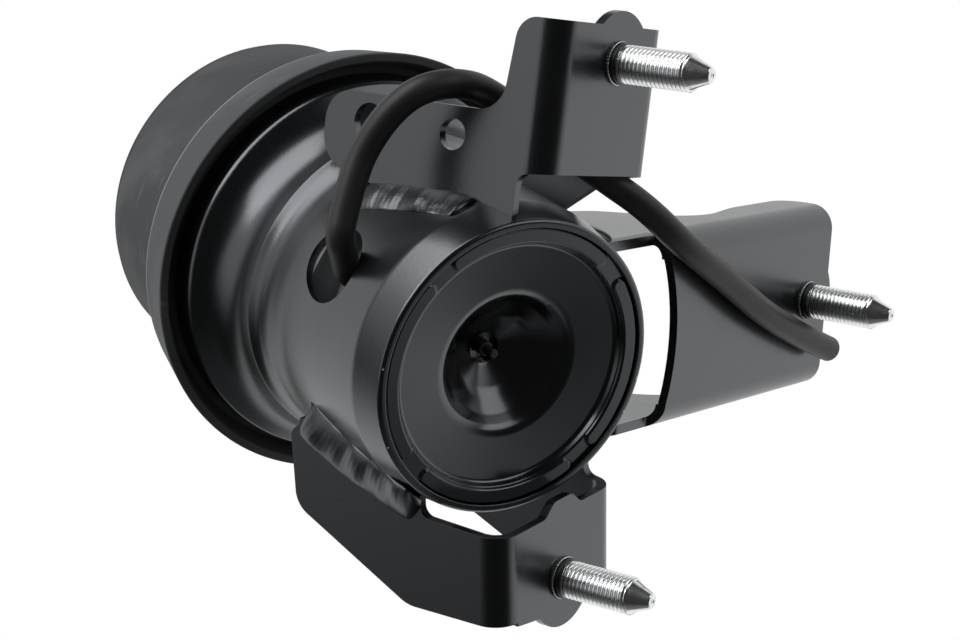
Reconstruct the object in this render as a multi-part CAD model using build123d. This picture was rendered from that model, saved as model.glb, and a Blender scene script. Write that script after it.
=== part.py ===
from build123d import *
import math
import os

# Engine mount: a fluid-filled rubber mount in a round steel cup that leans over
# three welded sheet-steel brackets. Each bracket carries one stud, and the three
# studs bolt to a flat face. A vacuum hose leaves the cup through a side hole.
# All sizes are in millimetres. The frame's origin is the centre of the stud
# circle, on the plane that the bracket plates seat on. The studs point along -Z.

# Stud pattern
stud_circle_d = 155.0
first_stud_angle = 24.7
stud_angle_step = 120.0

# The cup's axis leans towards +X and starts at the seam of its end cover
lean_angle = 23.2
cup_x = -57.0
cup_y = -13.5
cup_z = 10.0

# Cup of drawn steel; heights run along its own axis from the cover seam
cup_r = 41.5
cup_wall = 2.0
lip_tuck = 1.9
lip_width = 2.0
lip_thick = 1.4
roll_height = 9.5
neck_height = 55.0
shoulder_out = 2.8
shoulder_rise = 6.0
shoulder_band = 9.0
flange_out = 9.6
flange_rise = 7.0
flange_band = 11.0
crimp_width = 3.3
crimp_thick = 1.6
fit_gap = 0.1

# Side hole in the cup for the hose
hole_d = 20.8
hole_height = 33.0
hole_angle = -134.4

# End cover: pressed disc with a deep centre bowl
cover_seat = 0.8
cover_thick = 1.5
ring_width = 5.4
ring_slope = 1.4
plateau_depth = 3.0
bowl_r = 20.3
bowl_step_in = 2.7
bowl_step_drop = 3.5
bowl_drop = 5.9
pit_r = 4.2
pit_drop = 2.2
pad_inset = 2.3
pad_width = 3.4
pad_rise = 0.5
pad_span = 74.0
pad_step = 90.0
first_pad_angle = 20.5
nub_r = 2.0
nub_tip_r = 1.35
nub_step = 3.1
nub_length = 5.4

# Vacuum chamber inside the cup, with its hose port
chamber_room = 9.3
chamber_wall = 2.0
chamber_gap = 1.3
chamber_depth = 24.6
chamber_flange_thick = 2.4
port_d = 5.0
port_stand = 2.8
port_below_hole = 4.5
port_turn = -0.1
spring_mean_r = 12.0
spring_wire_r = 1.1
spring_turns = 3.0
hub_r = 16.0
hub_drop = 11.4
membrane_bead = 5.6
membrane_fold = 3.0

# Plates that hold the fluid's throttle channel
diaphragm_thick = 2.0
orifice_thick = 6.0
top_plate_thick = 4.0
channel_inset = 8.4
channel_width = 5.0
channel_depth = 3.6
disc_r = 19.5
disc_thick = 2.6
disc_play = 0.2
vent_d = 4.0
vent_circle_r = 12.0
vent_count = 8

# Bonded ring, rubber spring and core
ring_wall = 2.0
core_r = 17.0
core_tip_r = 11.5
core_gap = 1.0
core_cone = 23.0
core_shank = 27.0
pilot_r = 15.0
pilot_rise = 5.0

# Rubber skirt round the flange
skirt_lip_out = 7.05
skirt_lip_rise = 4.8
skirt_lip_wall = 2.5
skirt_rear_out = 3.2
skirt_height = 11.1
skirt_land = 7.9
skirt_throat = 2.0

# Stopper drum on top of the core
drum_r = 48.5
drum_cap = 4.3
drum_gap = 1.2
drum_rubber = 2.2
drum_steel = 2.2
drum_lip = 0.8
drum_pad_inner_r = 20.0

# Fastening on top
top_stud_d = 12.0
shank_over = 0.3
top_stud_length = 30.0
top_stud_sunk = 16.0
pin_d = 5.0
pin_offset = 10.6
pin_length = 7.0
pin_sunk = 5.0

# Bracket studs: M10 with a serrated press-in shank and a long cone point
stud_d = 10.0
stud_length = 27.5
point_length = 6.0
point_root_d = 8.6
point_tip_d = 3.8
serration_d = 11.6
stud_head_d = 18.0
stud_head_thick = 3.0

# Bracket sheet; each bracket's own frame has its stud at the origin and its X
# axis pointing away from the cup, turned by its twist from the line that joins
# the cup's axis, at the aim height, to the stud; walls stop short of that axis
aim_height = 20.0
sheet = 2.5
bend_r = 7.0
ear_r = 13.3
weld_r = 4.4

# Upper bracket: its near wall carries a long drilled tab
upper_twist = -9.5
upper_near_wall = -27.3
upper_far_wall = 22.0
upper_outer_edge = 9.4
upper_inner_edge = -28.8
upper_wall_height = 13.0
tab_edge = -15.0
tab_height = 71.0
tab_back = -38.0
tab_hole_x = -22.3
tab_hole_d = 9.6
tab_hole_height = 56.5
small_hole_d = 8.0
small_hole_height = 29.5
upper_near_clear = 8.5
upper_far_clear = 12.0
upper_far_height = 46.0
upper_stop = 25.0
upper_near_seam = (21.3, 49.6)
upper_far_seam = (37.0, 44.0)

# Right bracket: longest reach; its plate is cut back in an arc beside the cup
right_twist = 0.8
right_near_wall = -26.9
right_far_wall = 27.4
right_outer_edge = 11.1
right_arc_past = 8.5
right_arc_y = 3.4
right_arc_r = 50.0
right_end_height = 17.0
right_waist_height = 13.3
right_cup_height = 46.0
right_near_clear = 4.5
right_far_clear = 4.5
right_far_lift = 16.0
right_stop = 19.0
right_near_seam = (9.0, 14.0)
right_far_seam = (32.5, 42.0)

# Lower bracket
lower_twist = 3.4
lower_near_wall = 27.5
lower_far_wall = -24.9
lower_outer_edge = 5.4
lower_inner_edge = -18.8
lower_crown_edge = -22.3
lower_height = 68.3
lower_clear = 25.5
lower_far_clear = 9.0
lower_stop = 0.5
lower_near_seam = (30.0, 62.0)
lower_far_seam = (53.0, 60.0)

# Hose: outside size and the corners of its path after the side hole
hose_d = 7.5
hose_route = [
    (-72.2, -46.7, 45.8),
    (-74.1, -53.8, 44.2),
    (-70.7, -58.3, 44.5),
    (-65.8, -64.9, 44.1),
    (-60.4, -71.6, 43.1),
    (-54.0, -79.8, 37.9),
    (-48.1, -84.2, 32.2),
    (-39.6, -83.1, 27.1),
    (-29.4, -76.4, 25.4),
    (-20.7, -61.0, 16.4),
    (-10.2, -44.8, 7.2),
    (-3.7, -34.6, 0.4),
    (3.7, -20.4, -5.0),
    (20.5, -2.0, -5.0),
    (45.0, 26.5, -5.0),
    (70.7, 48.1, -5.0),
]

os.makedirs("parts", exist_ok=True)
cup_place = Pos(cup_x, cup_y, cup_z) * Rot(0, lean_angle, 0)
nodes = {}


def flat(*corners):
    """Flat face through (x, y) corners; a third number rounds that corner."""
    path = Polyline(*[corner[:2] for corner in corners], close=True)
    face = Face(Wire(path.edges()))
    for corner in corners:
        if len(corner) > 2:
            vertex = face.vertices().sort_by_distance(Vector(corner[0], corner[1]))[0]
            face = face.fillet_2d(corner[2], [vertex])
    return face


def turned(*corners):
    """Solid turned about the local Z axis from (radius, height) corners."""
    return revolve(Plane.XZ * flat(*corners), Axis.Z, 360)


def around(count, radius, shape):
    """Copies of a shape set evenly round the local Z axis."""
    return [Rot(0, 0, i * 360.0 / count) * Pos(radius, 0, 0) * shape for i in range(count)]


def on_cup(radius, height, angle):
    """Point of the part's frame given by radius, height and angle on the cup."""
    turn = math.radians(angle)
    return (cup_place * Pos(radius * math.cos(turn), radius * math.sin(turn), height)).position


# Cup
lip_outer_r = cup_r - lip_tuck
lip_inner_r = lip_outer_r - lip_width
cover_r = lip_inner_r + cover_seat
shoulder_r = cup_r + shoulder_out
shoulder_height = neck_height + shoulder_rise
shoulder_top = shoulder_height + shoulder_band
flange_r = shoulder_r + flange_out
flange_height = shoulder_top + flange_rise
flange_top = flange_height + flange_band
cup_outside = [
    (lip_inner_r, -lip_thick),
    (lip_outer_r, -lip_thick, 1.2),
    (cup_r, roll_height, 10.0),
    (cup_r, neck_height, 6.0),
    (shoulder_r, shoulder_height, 2.0),
    (shoulder_r, shoulder_top, 5.0),
    (flange_r, flange_height, 2.5),
    (flange_r, flange_top, 1.0),
]
flange_inner_r = flange_r - cup_wall
crimp_r = flange_r - crimp_width
cup_inner_r = cup_r - cup_wall
cup_inside = [
    (crimp_r, flange_top),
    (crimp_r, flange_top - crimp_thick),
    (flange_inner_r, flange_top - crimp_thick),
    (flange_inner_r, flange_height + 1.4, 0.6),
    (shoulder_r - cup_wall, shoulder_top + 1.3, 3.0),
    (shoulder_r - cup_wall, shoulder_height + 0.6, 1.0),
    (cup_inner_r, neck_height + 0.5, 4.0),
    (cup_inner_r, roll_height, 8.0),
    (cover_r + fit_gap, 0.0),
    (lip_inner_r, 0.0),
]
cup_envelope = cup_place * turned((0, -lip_thick), *cup_outside, (0, flange_top))
hole_tool = Rot(0, 0, hole_angle) * Pos(cup_r, 0, hole_height) * Rot(0, 90, 0)
side_hole = hole_tool * Cylinder(hole_d / 2, 4 * cup_wall)
nodes["lower_housing"] = cup_place * (turned(*cup_outside, *cup_inside) - side_hole)


ring_inner_r = cover_r - ring_width
plateau_r = ring_inner_r - ring_slope
bowl_step_r = bowl_r - bowl_step_in
bowl_step_depth = plateau_depth + bowl_step_drop
pit_top = bowl_step_depth + bowl_drop
pit_depth = pit_top + pit_drop


def end_cover():
    """Pressed cover: outer ring with raised pads, flat land, bowl and pit."""
    front = [
        (cover_r, 0.0),
        (ring_inner_r, 0.0, 0.6),
        (plateau_r, plateau_depth, 1.2),
        (bowl_r, plateau_depth, 2.5),
        (bowl_step_r, bowl_step_depth, 3.0),
        (pit_r, pit_top, 1.2),
        (pit_r, pit_depth),
        (0.0, pit_depth),
    ]
    back_r = 0.7 * cover_thick
    back = [
        (0.0, pit_depth + cover_thick),
        (pit_r + back_r, pit_depth + cover_thick, 1.0),
        (pit_r + back_r, pit_top + cover_thick, 1.0),
        (bowl_step_r + back_r, bowl_step_depth + cover_thick, 3.0),
        (bowl_r + back_r, plateau_depth + cover_thick, 1.2),
        (plateau_r + back_r, plateau_depth + cover_thick, 1.2),
        (ring_inner_r + back_r, cover_thick, 0.6),
        (cover_r, cover_thick),
    ]
    cover = turned(*front, *back)
    arc = CenterArc((0, 0), ring_inner_r + pad_inset, -pad_span / 2, pad_span)
    pad = Pos(0, 0, -pad_rise) * extrude(SlotArc(arc, pad_width), pad_rise)
    for i in range(round(360 / pad_step)):
        cover += Rot(0, 0, first_pad_angle + i * pad_step) * pad
    return cover


nodes["end_cover"] = cup_place * end_cover()
nodes["centre_plug"] = cup_place * turned(
    (0, pit_depth),
    (nub_r, pit_depth),
    (nub_r, pit_depth - nub_step),
    (nub_tip_r, pit_depth - nub_step),
    (nub_tip_r, pit_depth - nub_length, 0.5),
    (0, pit_depth - nub_length),
)

# Vacuum chamber: moulded cup, port, rubber membrane and return spring
plate_r = cup_inner_r - fit_gap
chamber_r = cup_inner_r - chamber_room
chamber_bore_r = chamber_r - chamber_wall
chamber_floor = pit_depth + cover_thick + chamber_gap
chamber_flange = chamber_floor + chamber_depth
port_end_r = chamber_r + port_stand
port_height = hole_height - port_below_hole
port_angle = hole_angle + port_turn
chamber_seat = chamber_flange + chamber_flange_thick
chamber = turned(
    (0, chamber_floor),
    (chamber_r, chamber_floor, 2.0),
    (chamber_r, chamber_flange),
    (plate_r, chamber_flange),
    (plate_r, chamber_seat),
    (chamber_bore_r, chamber_seat),
    (chamber_bore_r, chamber_floor + chamber_wall, 1.5),
    (0, chamber_floor + chamber_wall),
)
stub_root = (chamber_r + chamber_bore_r) / 2
stub_length = port_end_r - stub_root
stub = Pos(stub_root + stub_length / 2, 0, port_height) * Rot(0, 90, 0) * Cylinder(port_d / 2, stub_length)
nodes["vacuum_chamber"] = cup_place * (chamber + Rot(0, 0, port_angle) * stub)
hub_bottom = chamber_seat - hub_drop
spring_bottom = chamber_floor + chamber_wall
spring_pitch = (hub_bottom - spring_bottom - 2 * spring_wire_r - 2 * fit_gap) / spring_turns
coil_path = Helix(spring_pitch, spring_pitch * spring_turns, spring_mean_r)
wire_face = Plane(coil_path @ 0, z_dir=coil_path % 0) * Circle(spring_wire_r)
coil = sweep(wire_face, path=coil_path)
nodes["vacuum_spring"] = cup_place * Pos(0, 0, spring_bottom + spring_wire_r + fit_gap) * coil
fold_height = chamber_seat - membrane_fold
bead_foot = chamber_seat - membrane_bead
fold_r = chamber_bore_r - membrane_fold
nodes["vacuum_membrane"] = cup_place * turned(
    (0, hub_bottom),
    (hub_r, hub_bottom, 1.0),
    (hub_r, fold_height, 1.5),
    (fold_r, fold_height, 1.5),
    (fold_r, bead_foot, 0.5),
    (chamber_bore_r - fit_gap, bead_foot),
    (chamber_bore_r - fit_gap, chamber_seat),
    (hub_r - membrane_fold, chamber_seat, 2.0),
    (hub_r - membrane_fold, hub_bottom + membrane_fold, 1.0),
    (0, hub_bottom + membrane_fold),
)

# Fluid side: rolling diaphragm, throttle plates and decoupler disc
diaphragm_top = chamber_seat + diaphragm_thick
nodes["rolling_diaphragm"] = cup_place * turned(
    (chamber_bore_r + 3.0, chamber_seat),
    (plate_r, chamber_seat),
    (plate_r, diaphragm_top),
    (0, diaphragm_top),
    (0, chamber_seat + 0.4),
    (chamber_bore_r + 2.0, chamber_seat + 0.4),
)
orifice_top = diaphragm_top + orifice_thick
channel_r = plate_r - channel_inset
disc_floor = orifice_top - disc_thick - disc_play
vents = around(vent_count, vent_circle_r, Pos(0, 0, orifice_top) * Cylinder(vent_d / 2, 4 * orifice_thick))
channel_tool = turned(
    (channel_r - channel_width / 2, orifice_top - channel_depth),
    (channel_r + channel_width / 2, orifice_top - channel_depth),
    (channel_r + channel_width / 2, orifice_top + 1.0),
    (channel_r - channel_width / 2, orifice_top + 1.0),
)
channel_dam = Pos(channel_r, 0, orifice_top) * Box(2 * channel_width, channel_width, 2 * channel_depth)
lower_plate = Pos(0, 0, diaphragm_top + orifice_thick / 2) * Cylinder(plate_r, orifice_thick)
lower_plate -= Pos(0, 0, disc_floor + orifice_thick / 2) * Cylinder(disc_r + disc_play, orifice_thick)
lower_plate -= channel_tool - channel_dam
nodes["lower_orifice_plate"] = cup_place * (lower_plate - vents)
nodes["decoupler_disc"] = cup_place * Pos(0, 0, disc_floor + disc_thick / 2) * Cylinder(disc_r, disc_thick)
upper_plate = Pos(0, 0, orifice_top + top_plate_thick / 2) * Cylinder(plate_r, top_plate_thick)
channel_port = Rot(0, 0, 30) * Pos(channel_r, 0, orifice_top) * Cylinder(vent_d / 2, 4 * top_plate_thick)
nodes["upper_orifice_plate"] = cup_place * (upper_plate - vents - channel_port)

# Bonded outer ring, rubber spring and core
ring_top = flange_top - crimp_thick
ring_foot = shoulder_top + 1.5
core_bottom = flange_top + core_gap
core_cone_top = core_bottom + core_cone
core_top = core_cone_top + core_shank
seat_height = core_top + pilot_rise
skirt_inner_r = flange_r - skirt_land
skirt_lip_r = flange_r + skirt_lip_out
skirt_lip_height = flange_height + skirt_lip_rise
skirt_top = flange_top + skirt_height
nodes["bonded_ring"] = cup_place * turned(
    (flange_inner_r - fit_gap, ring_top),
    (flange_inner_r - fit_gap, flange_height + 1.7),
    (shoulder_r - cup_wall, ring_foot),
    (shoulder_r - cup_wall, ring_foot + 1.4 * ring_wall),
    (flange_inner_r - ring_wall - fit_gap, flange_height + 2.6),
    (flange_inner_r - ring_wall - fit_gap, ring_top),
)
nodes["rubber_spring"] = cup_place * turned(
    (flange_inner_r - ring_wall - fit_gap, ring_top),
    (flange_inner_r - ring_wall - fit_gap, flange_height + 2.6),
    (shoulder_r - cup_wall, ring_foot + 1.4 * ring_wall),
    (shoulder_r - cup_wall - 3.0, ring_foot + 1.4 * ring_wall, 1.0),
    (core_tip_r + 6.0, core_bottom - 6.0, 4.0),
    (0, core_bottom - 4.0),
    (0, core_bottom),
    (core_tip_r, core_bottom),
    (core_r, core_cone_top),
    (core_r + 4.0, core_cone_top, 2.0),
    (skirt_inner_r - 6.0, ring_top + 6.0, 6.0),
    (skirt_inner_r - 1.0, ring_top, 1.0),
)
core = turned(
    (0, core_bottom),
    (core_tip_r, core_bottom),
    (core_r, core_cone_top),
    (core_r, core_top),
    (pilot_r, core_top),
    (pilot_r, seat_height, 0.8),
    (0, seat_height),
)
top_shank_r = top_stud_d / 2 + shank_over
pin_shank_r = pin_d / 2 + shank_over
stud_bore = Pos(0, 0, seat_height) * Cylinder(top_shank_r, 2 * top_stud_sunk)
pin_bore = Pos(pin_offset, 0, seat_height) * Cylinder(pin_shank_r, 2 * pin_sunk)
nodes["inner_core"] = cup_place * (core - stud_bore - pin_bore)
nodes["top_stud"] = cup_place * turned(
    (0, seat_height - top_stud_sunk),
    (top_shank_r, seat_height - top_stud_sunk),
    (top_shank_r, seat_height),
    (top_stud_d / 2, seat_height),
    (top_stud_d / 2, seat_height + top_stud_length - 1.5),
    (top_stud_d / 2 - 1.5, seat_height + top_stud_length),
    (0, seat_height + top_stud_length),
)
pin = turned(
    (0, seat_height - pin_sunk),
    (pin_shank_r, seat_height - pin_sunk),
    (pin_shank_r, seat_height),
    (pin_d / 2, seat_height),
    (pin_d / 2, seat_height + pin_length - 1.0),
    (pin_d / 2 - 1.0, seat_height + pin_length),
    (0, seat_height + pin_length),
)
nodes["locating_pin"] = cup_place * Pos(pin_offset, 0, 0) * pin

# Rubber skirt: stands on the crimped lip, its outer lip hangs round the flange
nodes["rubber_skirt"] = cup_place * turned(
    (skirt_inner_r, flange_top),
    (flange_r + skirt_throat, flange_top, 1.2),
    (skirt_lip_r - skirt_lip_wall, skirt_lip_height, 0.6),
    (skirt_lip_r, skirt_lip_height, 0.6),
    (flange_r + skirt_rear_out, skirt_top, 0.6),
    (skirt_inner_r + 4.0, skirt_top, 2.0),
    (skirt_inner_r, skirt_top - 5.0, 2.0),
)

# Stopper drum: steel cup clamped on the core, rubber moulded over it
drum_top = core_top + drum_cap
drum_bottom = skirt_top + drum_gap
steel_r = drum_r - drum_rubber
steel_top = core_top + drum_steel
steel_foot = drum_bottom + drum_rubber
nodes["drum_shell"] = cup_place * turned(
    (pilot_r + fit_gap, core_top),
    (steel_r - drum_steel, core_top, 3.0),
    (steel_r - drum_steel, steel_foot),
    (steel_r, steel_foot),
    (steel_r, steel_top, 5.0),
    (pilot_r + fit_gap, steel_top),
)
nodes["drum_cover"] = cup_place * turned(
    (drum_pad_inner_r, steel_top),
    (steel_r, steel_top, 5.0),
    (steel_r, steel_foot),
    (steel_r - drum_steel - drum_rubber, steel_foot),
    (steel_r - drum_steel - drum_rubber, drum_bottom, 1.0),
    (drum_r, drum_bottom, 1.5),
    (drum_r, drum_top - 3.0),
    (drum_r - drum_lip, drum_top - 2.4),
    (drum_r - drum_lip, drum_top, 0.8),
    (drum_pad_inner_r, drum_top, 0.8),
)


def stud_at(index):
    """Centre of one stud on the seating plane."""
    turn = math.radians(first_stud_angle + index * stud_angle_step)
    return stud_circle_d / 2 * math.cos(turn), stud_circle_d / 2 * math.sin(turn)


def cup_offset(index):
    """Plan vector from the cup's axis, at the aim height, to one stud."""
    x, y = stud_at(index)
    axis_x = cup_x + (aim_height - cup_z) * math.tan(math.radians(lean_angle))
    return x - axis_x, y - cup_y


def bracket_place(index, twist):
    """Place of a bracket's own frame."""
    dx, dy = cup_offset(index)
    return Pos(*stud_at(index), 0) * Rot(0, 0, math.degrees(math.atan2(dy, dx)) + twist)


def reach_to_cup(index, stop):
    """Length from a stud to where its walls stop inside the cup."""
    return math.hypot(*cup_offset(index)) - stop


def wall_tool(profile, side, edge):
    """Prism over a wall and its bend: the (x, z) profile, from the wall inwards."""
    width = bend_r + 1.0
    start = edge - 1.0 if side < 0 else edge + 1.0 - width
    return extrude(Plane((0, start + width, 0), x_dir=(1, 0, 0), z_dir=(0, -1, 0)) * flat(*profile), width)


def channel_bracket(place, low_wall, high_wall, plate, low_profile, high_profile, reach):
    """Folded channel: a plate at z 0 with two upstanding walls, cut to outline."""
    top = 2 * cup_r
    section = flat(
        (low_wall, top),
        (low_wall, 0, bend_r),
        (high_wall, 0, bend_r),
        (high_wall, top),
        (high_wall - sheet, top),
        (high_wall - sheet, sheet, bend_r - sheet),
        (low_wall + sheet, sheet, bend_r - sheet),
        (low_wall + sheet, top),
    )
    blank = extrude(Plane((reach, 0, 0), x_dir=(0, 1, 0), z_dir=(1, 0, 0)) * section, -2 * reach)
    middle = Box(4 * reach, high_wall - low_wall - 2 * bend_r, 4 * sheet)
    middle = Pos(0, (high_wall + low_wall) / 2, 0) * middle
    keep = (extrude(Pos(0, 0, -1) * plate, 2 * sheet) & middle) + wall_tool(low_profile, -1, low_wall)
    keep += wall_tool(high_profile, 1, high_wall)
    shank = Cylinder(serration_d / 2, 4 * sheet)
    return place * ((blank & keep) - shank) - cup_envelope


def disc_at(radius, x=0.0, y=0.0):
    """Flat disc in a bracket's plan."""
    return Pos(x, y, 0) * Circle(radius)


# Upper bracket
upper_place = bracket_place(2, upper_twist)
upper_reach = reach_to_cup(2, upper_stop)
upper_plate = flat(
    (upper_outer_edge, upper_near_wall),
    (upper_outer_edge, upper_far_wall),
    (upper_inner_edge, upper_far_wall),
    (upper_inner_edge, upper_near_wall),
)
upper_near = [
    (upper_outer_edge, 0),
    (upper_outer_edge, upper_wall_height, 6),
    (tab_edge, upper_wall_height + 2.5, 8),
    (tab_edge, tab_height, 8),
    (tab_back + 5.0, tab_height, 10),
    (tab_back, tab_height - 13.0, 6),
    (tab_back, tab_height - 17.0),
    (tab_back - 6.0, tab_height - 21.0),
    (-upper_reach, tab_height - 21.0),
    (-upper_reach, upper_near_clear),
    (upper_inner_edge - 0.7, upper_near_clear, 3.5),
    (upper_inner_edge, 0),
]
upper_far = [
    (upper_outer_edge, 0),
    (upper_outer_edge, upper_wall_height, 6),
    (tab_edge, upper_wall_height + 3.0, 8),
    (tab_edge, upper_far_height, 6),
    (-upper_reach, upper_far_height),
    (-upper_reach, 2.3 * upper_far_clear),
    (upper_inner_edge - 14.0, 2.3 * upper_far_clear, 3),
    (upper_inner_edge - 2.2, upper_far_clear, 3),
    (upper_inner_edge, 0),
]
upper_plate += disc_at(ear_r)
upper = channel_bracket(
    upper_place, upper_near_wall, upper_far_wall, upper_plate, upper_near, upper_far, upper_reach
)
wall_drill = Pos(0, upper_near_wall, 0) * Rot(90, 0, 0)
tab_hole = Pos(tab_hole_x, 0, tab_hole_height) * wall_drill * Cylinder(tab_hole_d / 2, 4 * sheet)
small_hole = Pos(tab_hole_x, 0, small_hole_height) * wall_drill * Cylinder(small_hole_d / 2, 4 * sheet)
nodes["upper_bracket"] = upper - upper_place * tab_hole - upper_place * small_hole

# Right bracket
right_place = bracket_place(0, right_twist)
right_reach = reach_to_cup(0, right_stop)
right_arc_x = right_arc_past - reach_to_cup(0, 0)
right_plate = flat(
    (right_outer_edge, right_near_wall),
    (right_outer_edge, right_far_wall),
    (-right_reach, right_far_wall),
    (-right_reach, right_near_wall),
)
right_plate = right_plate + disc_at(ear_r) - disc_at(right_arc_r, right_arc_x, right_arc_y)
right_wall_top = [
    (right_outer_edge, right_end_height, 8),
    (-20, right_end_height, 30),
    (-39, right_waist_height, 20),
    (-50, right_waist_height + 5.0, 20),
    (-63, right_waist_height + 23.0, 10),
    (-82, right_cup_height),
    (-right_reach, right_cup_height),
]
far_arc_x = right_arc_x + math.sqrt(right_arc_r ** 2 - (right_far_wall - bend_r - right_arc_y) ** 2)
near_arc_x = right_arc_x + math.sqrt(right_arc_r ** 2 - (right_near_wall + bend_r - right_arc_y) ** 2)
right_near = [
    (right_outer_edge, 0),
    *right_wall_top,
    (-right_reach, right_near_clear),
    (near_arc_x - 2.0, right_near_clear, 2),
    (near_arc_x, 0),
]
right_far = [
    (right_outer_edge, 0),
    *right_wall_top,
    (-right_reach, right_far_lift),
    (-right_reach + 15.4, right_far_lift, 2),
    (-right_reach + 18.4, right_far_clear, 3),
    (far_arc_x - 2.0, right_far_clear, 2),
    (far_arc_x, 0),
]
nodes["right_bracket"] = channel_bracket(
    right_place, right_near_wall, right_far_wall, right_plate, right_near, right_far, right_reach
)

# Lower bracket
lower_place = bracket_place(1, lower_twist)
lower_reach = reach_to_cup(1, lower_stop)
lower_plan = flat(
    (lower_outer_edge, lower_far_wall),
    (lower_outer_edge + 5.2, lower_far_wall + 12.0, 4),
    (lower_outer_edge + 2.0, lower_near_wall - 13.5, 4),
    (lower_outer_edge, lower_near_wall),
    (lower_inner_edge, lower_near_wall),
    (lower_inner_edge, 8, 3),
    (lower_crown_edge, 4, 3),
    (lower_crown_edge, -4, 3),
    (lower_inner_edge, -8, 3),
    (lower_inner_edge, lower_far_wall),
)
lower_near = [
    (lower_outer_edge, 0),
    (lower_outer_edge, 30.5, 10),
    (-14.5, lower_height - 1.0, 7),
    (-35.2, lower_height, 3),
    (-37.5, lower_height - 3.0),
    (-lower_reach, lower_height - 6.0),
    (-lower_reach, lower_clear),
    (lower_inner_edge - 1.5, lower_clear, 3),
    (lower_inner_edge, 0),
]
lower_far = [
    (lower_outer_edge, 0),
    (lower_outer_edge, 33, 8),
    (-0.8, 46, 8),
    (-13, lower_height - 4.0, 6),
    (-30, lower_height - 2.0),
    (-lower_reach, lower_height - 2.0),
    (-lower_reach, lower_far_clear),
    (lower_inner_edge - 0.5, lower_far_clear, 3),
    (lower_inner_edge, 0),
]
lower_plan += disc_at(ear_r)
nodes["lower_bracket"] = channel_bracket(
    lower_place, lower_far_wall, lower_near_wall, lower_plan, lower_far, lower_near, lower_reach
)

# Studs; heights run along -Z from the seating plane
stud_tip = -stud_length
point_root = stud_tip + point_length
stud_shape = turned(
    (0, sheet + stud_head_thick),
    (stud_head_d / 2, sheet + stud_head_thick, 0.8),
    (stud_head_d / 2, sheet),
    (serration_d / 2, sheet),
    (serration_d / 2, 0),
    (stud_d / 2, 0),
    (stud_d / 2, point_root + (stud_d - point_root_d) / 2),
    (point_root_d / 2, point_root),
    (point_tip_d / 2, stud_tip, 0.6),
    (0, stud_tip),
)
for index, name in enumerate(["right_stud", "lower_stud", "upper_stud"]):
    nodes[name] = Pos(*stud_at(index), 0) * stud_shape


def seam_point(place, wall, height):
    """Point where a wall's outer plane meets the cup, at one height above z 0."""
    start = place * Pos(0, wall, height)
    along = (place * Pos(1, wall, height)).position - start.position
    axis = Vector(math.sin(math.radians(lean_angle)), 0, math.cos(math.radians(lean_angle)))
    offset = start.position - Vector(cup_x, cup_y, cup_z)
    a = 1 - along.dot(axis) ** 2
    b = offset.dot(along) - offset.dot(axis) * along.dot(axis)
    c = offset.dot(offset) - offset.dot(axis) ** 2 - cup_r ** 2
    return start.position + along * ((-b + math.sqrt(b * b - a * c)) / a)


def weld_bead(place, wall, side, seam):
    """Quarter-round bead on a wall's outer side, along its seam with the cup."""
    steps = 4
    low, high = seam
    points = [seam_point(place, wall, low + (high - low) * i / steps) for i in range(steps + 1)]
    bead = Pos(*points[0]) * Sphere(weld_r)
    for start, end in zip(points, points[1:]):
        rod = extrude(Plane(start, z_dir=end - start) * Circle(weld_r), (end - start).length)
        bead += rod + Pos(*end) * Sphere(weld_r)
    reach = 8 * cup_r
    outside = place * Pos(0, wall + side * weld_r, 0) * Box(reach, 2 * weld_r, reach)
    return (bead & outside) - cup_envelope


nodes["upper_near_weld"] = weld_bead(upper_place, upper_near_wall, -1, upper_near_seam)
nodes["upper_far_weld"] = weld_bead(upper_place, upper_far_wall, 1, upper_far_seam)
nodes["right_near_weld"] = weld_bead(right_place, right_near_wall, -1, right_near_seam)
nodes["right_far_weld"] = weld_bead(right_place, right_far_wall, 1, right_far_seam)
nodes["lower_near_weld"] = weld_bead(lower_place, lower_near_wall, 1, lower_near_seam)
nodes["lower_far_weld"] = weld_bead(lower_place, lower_far_wall, -1, lower_far_seam)

# Hose: leaves the port along the cup, turns out through the side hole, passes
# behind the upper bracket's plate and ends bare beside the right stud
hose_points = [
    on_cup(port_end_r, port_height, port_angle),
    on_cup(port_end_r + 6.0, port_height, port_angle),
    *[Vector(*point) for point in hose_route],
]


def hose_path(points):
    """Straight runs joined by tangent arcs, one arc at each inner point."""
    radii = []
    for before, corner, after in zip(points, points[1:], points[2:]):
        turn = math.radians((corner - before).get_angle(after - corner))
        shorter = min((corner - before).length, (after - corner).length)
        radii.append(0.45 * shorter / math.tan(turn / 2))
    print("hose radii", [round(radius, 1) for radius in radii])
    return FilletPolyline(*points, radius=radii)


route = hose_path(hose_points)
hose_face = Plane(route @ 0, z_dir=route % 0) * Circle(hose_d / 2)
nodes["hose"] = sweep(hose_face, path=route)
hose_section = math.pi * hose_d ** 2 / 4
hose_ratio = nodes["hose"].volume / hose_section / route.length
print("hose length", round(route.length, 1), "volume ratio", round(hose_ratio, 4))

for name, shape in nodes.items():
    export_step(shape, f"parts/{name}.step")
print(len(nodes), "parts written")
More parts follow.
